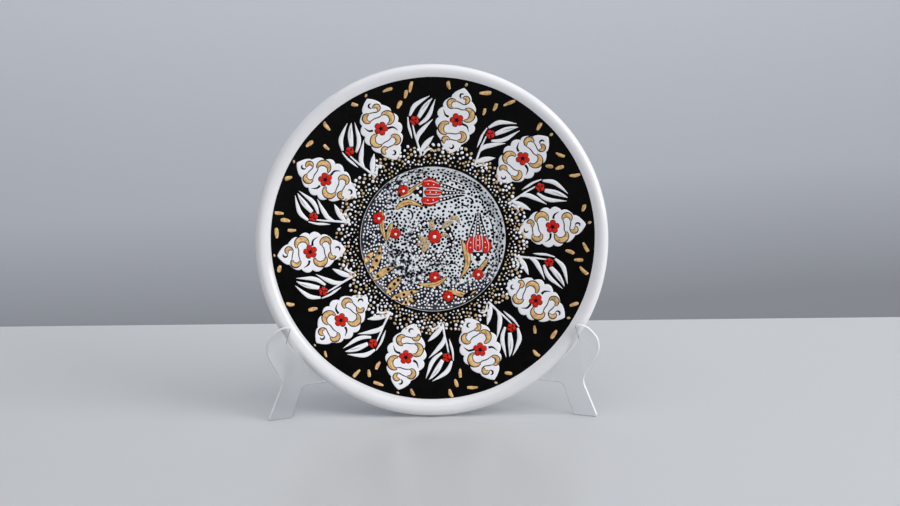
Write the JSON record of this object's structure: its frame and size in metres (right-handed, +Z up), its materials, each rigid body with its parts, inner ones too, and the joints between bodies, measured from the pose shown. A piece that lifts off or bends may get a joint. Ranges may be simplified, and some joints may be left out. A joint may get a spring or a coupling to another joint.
{
  "type": "hand painted ceramic display plate on stand",
  "caption": "Round hand painted ceramic display plate with a dark floral flange and dotted centre, leaning in a folding clear plastic stand.",
  "frame": {"origin": "middle of the footprint, on the surface that the stand's feet rest on", "axes": "+Z up; the plate faces -Y and leans back towards +Y; +X is to the right as seen from the front"},
  "size_m": [0.1812, 0.0388, 0.1805],
  "materials": {
    "white_glaze": "gloss",
    "black_glaze": "gloss",
    "white_enamel": "gloss",
    "red_enamel": "gloss",
    "ochre_enamel": "gloss",
    "clear_plastic": "polished",
    "pin_steel": "satin"
  },
  "bodies": {
    "stand": {"stand_right_half": "clear_plastic", "hinge_pin": "pin_steel"},
    "stand_fold_half": {"stand_left_half": "clear_plastic"},
    "plate": {"plate_body": "white_glaze"}
  },
  "joints": [
    {"name": "plate_lift", "type": "slide", "parent": "stand", "child": "plate", "axis": [0, 0, 1], "range_m": [0, 0.5]},
    {"name": "stand_fold", "type": "hinge", "parent": "stand", "child": "stand_fold_half", "pos_m": [0, 0.01538, 0.044], "axis": [0, 0, 1], "range_deg": [0, 135]}
  ],
  "couplings": [
    {"joint": "stand_fold", "follows": "plate_lift", "rad_per_m": 4.712}
  ]
}
